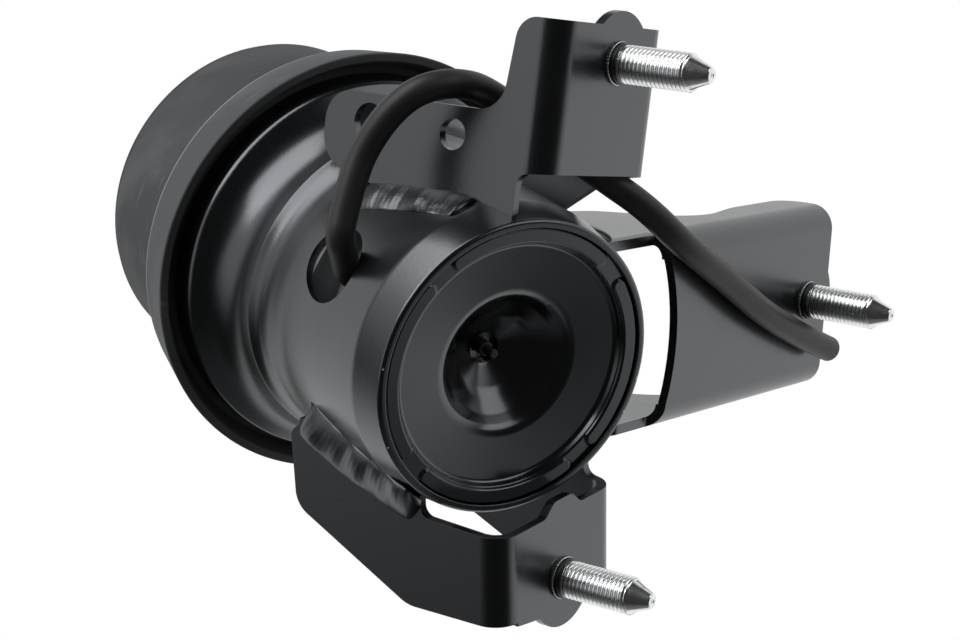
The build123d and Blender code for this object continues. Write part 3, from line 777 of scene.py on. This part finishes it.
def seam_line(side, wall, heights):
    """Points where a wall's outer plane meets the cup: the root of a quadratic along the wall, per height."""
    stud, along, across = stud_place(side)
    start = stud + wall * across + heights[:, None] * np.array([0, 0, 1.0])
    offset = start - FOOT
    a = 1 - (along @ CUP_Z) ** 2
    b = offset @ along - (offset @ CUP_Z) * (along @ CUP_Z)
    c = (offset ** 2).sum(1) - (offset @ CUP_Z) ** 2 - CUP_R ** 2
    return start + along * ((-b + np.sqrt(b * b - a * c)) / a)[:, None], along, across


# Node, bracket, wall plane, side and height range, then the legs on the wall and the legs on the cup,
# each at the low and at the high end
WELDS = (
    ("upper_near_weld", "upper", -27.3, -1, 20.0, 55.0, (1.4, 1.4), (8.6, 8.0)),
    ("upper_far_weld", "upper", 22.0, 1, 34.0, 47.0, (4.3, 4.3), (4.3, 4.3)),
    ("right_near_weld", "right", -26.9, -1, 6.0, 17.0, (4.3, 4.3), (4.3, 4.3)),
    ("right_far_weld", "right", 27.4, 1, 29.5, 45.0, (4.3, 4.3), (4.3, 4.3)),
    ("lower_near_weld", "lower", NEAR_WALL, 1, 25.0, 60.0, (7.0, 10.5), (8.0, 0.9)),
    ("lower_far_weld", "lower", -24.9, -1, 50.0, 63.0, (4.3, 4.3), (4.3, 4.3)),
)
WELD_SEED = 11
# Waves on a bead: height, length along it, and how far each leans over its section
RIPPLES = ((0.26, 14.0, 0.8), (0.14, 7.7, -1.6), (0.04, 4.1, 2.2), (0.015, 1.6, 1.4))
BEAD_END, BEAD_RISE, BEAD_POWER, BEAD_SUNK, BEAD_TUCK = 2.4, 0.75, 1.6, 0.6, 0.3


def unit(vectors):
    """Each vector over its own length."""
    return vectors / np.linalg.norm(vectors, axis=1)[:, None]


def bead_rows(line, along, outward, wall_legs, cup_legs, starts):
    """Closed sections along a seam. Over an angle f from wall to cup, the wall leg goes with cos f to a
    power and the cup leg with sin f; waves raise the middle, and both ends shrink as a quarter circle."""
    run = np.concatenate([[0], np.cumsum(np.linalg.norm(np.diff(line, axis=0), axis=1))])
    tangent = unit(np.gradient(line, axis=0))
    radial = line - FOOT
    radial = unit(radial - (radial @ CUP_Z)[:, None] * CUP_Z)
    toe_wall = unit(along - tangent * (tangent @ along)[:, None])
    toe_cup = np.cross(radial, tangent)
    toe_cup *= np.sign(toe_cup @ outward)[:, None]
    end = np.clip(np.minimum(run, run[-1] - run) / BEAD_END, 0, 1)
    end = np.sqrt(np.clip(1 - (1 - end) ** 2, 0.0009, 1))
    f = np.linspace(0, np.pi / 2, 26)
    waves = sum(
        height * np.sin(np.add.outer(run * 2 * np.pi / length + start, f * lean))
        for (height, length, lean), start in zip(RIPPLES, starts)
    )
    share = run / run[-1]
    wall_leg = (np.interp(share, (0, 1), wall_legs) * end)[:, None] * np.cos(f) ** BEAD_POWER
    cup_leg = (np.interp(share, (0, 1), cup_legs) * end)[:, None] * np.sin(f) ** BEAD_POWER
    rise = (BEAD_RISE * np.sin(2 * f) + waves * np.sin(2 * f) ** 0.5) * end[:, None]
    skin = line[:, None] + wall_leg[..., None] * toe_wall[:, None]
    skin = skin + cup_leg[..., None] * toe_cup[:, None]
    sag = (cup_leg ** 2 / (2 * CUP_R))[..., None] * radial[:, None]
    skin += rise[..., None] * unit(toe_wall + toe_cup)[:, None] - sag
    tuck = BEAD_TUCK * end[:, None]
    under = np.stack([skin[:, -1] - tuck * toe_cup, line, skin[:, 0] - tuck * toe_wall], 1)
    inward = np.stack([radial, toe_wall + toe_cup, np.zeros_like(line) + outward], 1)
    rows = np.concatenate([skin, under - BEAD_SUNK * end[:, None, None] * inward], 1)
    first, last = (row.mean(1, keepdims=True).repeat(rows.shape[1], 1) for row in (rows[:1], rows[-1:]))
    return np.concatenate([first, rows, last])


class MOUNT_OT_welds(bpy.types.Operator):
    """Weld beads: one section, carried along each seam between a bracket's wall and the cup"""

    bl_idname = "mount.welds"
    bl_label = "Weld beads"

    def execute(self, context):
        colours = context.scene.mount_colours
        paint = black_paint("weld_paint", colours.paint, 0.30, 0.00006)
        for k, (node, side, wall, way, low, high, wall_legs, cup_legs) in enumerate(WELDS):
            starts = np.random.default_rng(WELD_SEED + k).uniform(0, 2 * np.pi, len(RIPPLES))
            line, along, across = seam_line(side, wall, np.linspace(low, high, 160))
            rows = bead_rows(line, along, across * way, wall_legs, cup_legs, starts)
            ob = grid_object(node.replace("weld", "bead"), rows, True, False)
            dress(ob, paint, "weld", node)
        return {"FINISHED"}


# Bracket stud, as radius and height from the plate's underside: head and collars, shank, thread and tip
STUD_HEAD = [(0.01, 5.5), (9.0, 5.5, 0.8), (9.0, 2.5, 0.2), (5.8, 2.5)]
STUD_SHANK = (
    (5.8, 2.3), (5.8, 0.0), (5.8, -0.3), (5.65, -0.42), (5.1, -0.45), (4.6, -0.5), (4.6, -1.6),
)
STUD_POINT = [(4.6, -21.7), (4.3, -21.9, 0.4), (1.9, STUD_TIP, 0.7), (0.01, STUD_TIP)]
STUD_COLLAR = [(4.5, -0.44), (5.5, -0.44, 0.1), (5.45, -1.5, 0.2), (4.5, -1.5)]
THREAD_R, THREAD_START, THREAD_END, THREAD_ROWS = 5.0, -1.65, -21.6, 290
TEETH, TOOTH_DEPTH = 40, 0.30


class MOUNT_OT_studs(bpy.types.Operator):
    """Bracket studs with a helical thread, a serrated shank, a cone point and a black collar each"""

    bl_idname = "mount.studs"
    bl_label = "Studs"

    def execute(self, context):
        colours = context.scene.mount_colours
        zinc = bright_zinc("stud_zinc", colours.zinc, 0.16)
        black = black_paint("collar_paint", colours.paint, 0.4)
        t = circle(160)
        stud = stud_surface(t, context.scene.mount_sizes)
        collar = rounded(STUD_COLLAR, 3)
        collar = turned(collar[:, :1], t, collar[:, 1:2])
        for side in ("right", "lower", "upper"):
            centre = stud_place(side)[0]
            ob = even_normals(grid_object(f"{side}_threaded_stud", stud + centre))
            dress(ob, zinc, "zinc", f"{side}_stud")
            ob = even_normals(grid_object(f"{side}_stud_collar", collar + centre))
            dress(ob, black, "black_paint")
        return {"FINISHED"}


def stud_surface(t, sizes):
    """Stud about the Z axis: its outline turned round, less the thread's groove and a wave for the teeth."""
    heights = np.linspace(THREAD_START, THREAD_END, THREAD_ROWS)
    thread = np.stack([np.full(THREAD_ROWS, THREAD_R), heights], -1)
    outline = np.vstack([rounded(STUD_HEAD, 4), STUD_SHANK, thread, rounded(STUD_POINT, 6)])
    r, z = outline[:, :1] + 0 * t, outline[:, 1:2] + 0 * t
    fade = ramp(z, THREAD_START - 0.75, -1.0) * ramp(z, THREAD_END - 0.7, 1.3)
    threaded = (z < THREAD_START + 0.03) & (z > THREAD_END - 0.05)
    r = r - np.where(threaded, groove(z, t, sizes, 1.3) * fade, 0.0)
    teeth = 0.5 + 0.5 * np.cos(TEETH * t)[None]
    r = r - np.where((z <= 2.35) & (z > -0.44) & (r > 5.5), TOOTH_DEPTH * teeth, 0.0)
    return turned(r, t, z)


# Chamber port in the cup's frame: direction in degrees, height, and radii of the hose's first points
PORT_TURN, PORT_HEIGHT, PORT_REACH = -134.5, 28.5, (33.0, 39.0)

# Middle line of the hose after its port, in the part's frame, read from the fitted photograph
HOSE_ROUTE = [
    (-72.2, -46.7, 45.8),
    (-74.1, -53.8, 44.2),
    (-70.7, -58.3, 44.5),
    (-65.8, -64.9, 44.1),
    (-60.4, -71.6, 43.1),
    (-54.0, -79.8, 37.9),
    (-48.1, -84.2, 32.2),
    (-39.6, -83.1, 27.1),
    (-29.4, -76.4, 25.4),
    (-20.7, -61.0, 16.4),
    (-10.2, -44.8, 7.2),
    (-3.7, -34.6, 0.4),
    (3.7, -20.4, -5.0),
    (20.5, -2.0, -5.0),
    (45.0, 26.5, -5.0),
    (70.7, 48.1, -5.0),
]


class MOUNT_OT_hose(bpy.types.Operator):
    """Vacuum hose: one smooth line from the port, out through the side hole and past the upper plate"""

    bl_idname = "mount.hose"
    bl_label = "Hose"

    def execute(self, context):
        colours = context.scene.mount_colours
        size = in_mm(context.scene.mount_sizes.hose)
        turn = math.radians(PORT_TURN)
        x, y = math.cos(turn), math.sin(turn)
        port = [from_cup([r * x, r * y, PORT_HEIGHT]) for r in PORT_REACH]
        points = [*port, *[np.array(p) for p in HOSE_ROUTE]]
        curve = bpy.data.curves.new("hose_tube", "CURVE")
        curve.dimensions = "3D"
        curve.bevel_depth = size / 2 * MM
        curve.bevel_resolution = 8
        curve.resolution_u = 12
        curve.use_fill_caps = True
        spline = curve.splines.new("NURBS")
        spline.points.add(len(points) - 1)
        for point, place in zip(spline.points, points):
            point.co = (*(place * MM), 1.0)
        spline.order_u = 3
        spline.use_endpoint_u = True
        ob = linked("hose_tube", curve)
        dress(ob, rubber("hose_rubber", colours.hose, 0.40, 0.25, 0.00001), "hose_rubber", "hose")
        tuple(port[0] * MM)
        return {"FINISHED"}


# Directions of the photograph in the part's frame, and the camera's place in metres
VIEW_RIGHT = Vector((0.5736, 0.1542, -0.8045))
VIEW_UP = Vector((0.4658, -0.8693, 0.1654))
VIEW_AHEAD = Vector((0.6739, 0.4696, 0.5704))
CAMERA = (-0.4842, -0.3234, -0.3435)
FLOOR_HALF = 3.0


def softbox(name, place, size, power):
    """Area lamp aimed at the part, at a place to the picture's right, up and back, in metres."""
    data = bpy.data.lights.new(name, "AREA")
    data.shape = "RECTANGLE"
    data.size, data.size_y = size
    data.energy = power
    ob = linked(name, data)
    spot = VIEW_RIGHT * place[0] + VIEW_UP * place[1] - VIEW_AHEAD * place[2]
    ob.location = spot
    ob.rotation_mode = "QUATERNION"
    ob.rotation_quaternion = (-spot).to_track_quat("-Z", "Y")


class MOUNT_OT_stage(bpy.types.Operator):
    """Camera, lamps, studio surroundings and a pale floor under the stud tips"""

    bl_idname = "mount.stage"
    bl_label = "Stage"

    def execute(self, context):
        scene = context.scene
        cam = bpy.data.cameras.new("view")
        cam.lens = 93.75
        cam.sensor_width = 36.0
        cam.clip_start, cam.clip_end = 0.05, 20.0
        ob = linked("view", cam)
        axes = Matrix((VIEW_RIGHT, VIEW_UP, -VIEW_AHEAD)).transposed().to_4x4()
        ob.matrix_world = Matrix.Translation(CAMERA) @ axes
        scene.camera = ob
        scene.view_settings.view_transform = "Standard"
        scene.world = bpy.data.worlds.new("studio")
        surroundings(scene.world)
        softbox("key", (-0.7, 0.9, 0.5), (1.3, 0.9), 12.0)
        softbox("side", (0.92, 0.62, 0.50), (0.8, 0.7), 2.6)
        floor = bpy.data.meshes.new("floor")
        a, h = FLOOR_HALF, STUD_TIP * MM
        floor.from_pydata([(-a, -a, h), (a, -a, h), (a, a, h), (-a, a, h)], [], [(0, 1, 2, 3)])
        floor.materials.append(floor_paint())
        linked("floor", floor)
        return {"FINISHED"}


def surroundings(world):
    """White for the camera and through clear pieces. For other rays it is a studio told by direction:
    white behind the object, a panel on the left, and dark behind the camera and where cards stand."""
    world.use_nodes = True
    net = Net(world.node_tree)
    way = net.add("ShaderNodeTexCoord", out="Generated")
    right, up, ahead = (
        net.add("ShaderNodeVectorMath", {"operation": "DOT_PRODUCT"}, {0: way, 1: tuple(axis)}, "Value")
        for axis in (VIEW_RIGHT, VIEW_UP, VIEW_AHEAD)
    )
    camera = net.add("ShaderNodeLightPath", out="Is Camera Ray")
    through = Wire(net, camera.socket.node.outputs["Is Transmission Ray"])
    left = right.step(-0.35, -0.65)
    behind = (ahead - up * 0.35).step(-0.32, 0.16)
    behind_left = (ahead + up * 0.25).step(0.12, 0.36)
    wall = behind * (1 - left) + behind_left * left
    panel = right.step(-0.55, -0.85) * up.step(-0.62, -0.14)
    panel = panel * ahead.step(-0.76, -0.56) * ahead.step(0.07, -0.05)
    low_card = up.step(-0.32, -0.52) * ahead.step(0.50, 0.20) * right.step(0.45, 0.10)
    top_card = up.step(0.50, 0.80) * right.step(0.45, 0.0)
    side_card = (up + right * 0.5).step(-0.10, -0.19) * right.step(0.1, 0.5) * ahead.step(0.2, -0.1)
    wall = wall * (1 - top_card * 0.92) * (1 - side_card * 0.85) * (1 - low_card * 0.9)
    room = wall.most(panel * 0.9) * 0.88 + 0.03
    back = net.tree.nodes["Background"]
    net.feed(back.inputs["Color"], (1, 1, 1))
    net.feed(back.inputs["Strength"], room.most(camera).most(through))
    world.cycles.sampling_method = "NONE"


def floor_paint():
    """Pale floor for a camera above it. The main view's camera is below it, so the floor is clear from
    there, and for light and reflections."""
    net = Finish("pale_floor")
    camera = net.add("ShaderNodeLightPath", out="Is Camera Ray")
    under = net.add("ShaderNodeNewGeometry", out="Backfacing")
    clear = net.add("ShaderNodeBsdfTransparent")
    net.put(Base_Color=(0.85, 0.85, 0.85), Roughness=0.9)
    mix = net.tree.nodes.new("ShaderNodeMixShader")
    net.feed(mix.inputs[0], camera * (1 - under))
    net.feed(mix.inputs[1], clear)
    net.feed(mix.inputs[2], Wire(net, net.shader.outputs[0]))
    net.feed(net.tree.nodes["Material Output"].inputs["Surface"], Wire(net, mix.outputs[0]))
    return net.material


# The operators in the order that they run in
STEPS = ("inner_parts", "housing", "cover", "rubber", "brackets", "welds", "studs", "hose", "stage")


class MOUNT_PT_panel(bpy.types.Panel):
    """Lists the mount's pieces in the 3D view's sidebar"""

    bl_idname = "MOUNT_PT_panel"
    bl_label = "Engine mount"
    bl_space_type = "VIEW_3D"
    bl_region_type = "UI"
    bl_category = "Mount"

    def draw(self, context):
        for group in (context.scene.mount_colours, context.scene.mount_sizes):
            for key in group.bl_rna.properties.keys():
                if key not in ("rna_type", "name"):
                    self.layout.prop(group, key)
        for step in STEPS:
            self.layout.operator("mount." + step)


CLASSES = (
    MountColours, MountSizes, MOUNT_OT_inner_parts, MOUNT_OT_housing, MOUNT_OT_cover,
    MOUNT_OT_rubber, MOUNT_OT_brackets, MOUNT_OT_welds, MOUNT_OT_studs, MOUNT_OT_hose,
    MOUNT_OT_stage, MOUNT_PT_panel,
)


def register():
    """Registers the classes and puts the colours and sizes on the scene."""
    for cls in CLASSES:
        bpy.utils.register_class(cls)
    bpy.types.Scene.mount_colours = PointerProperty(type=MountColours)
    bpy.types.Scene.mount_sizes = PointerProperty(type=MountSizes)


def unregister():
    """Takes away what register adds."""
    del bpy.types.Scene.mount_sizes
    del bpy.types.Scene.mount_colours
    for cls in reversed(CLASSES):
        bpy.utils.unregister_class(cls)


def main():
    """Registers the classes and makes every piece in order."""
    register()
    for step in STEPS:
        if getattr(bpy.ops.mount, step)() != {"FINISHED"}:
            raise RuntimeError(f"mount.{step} did not finish")


if __name__ == "__main__":
    main()
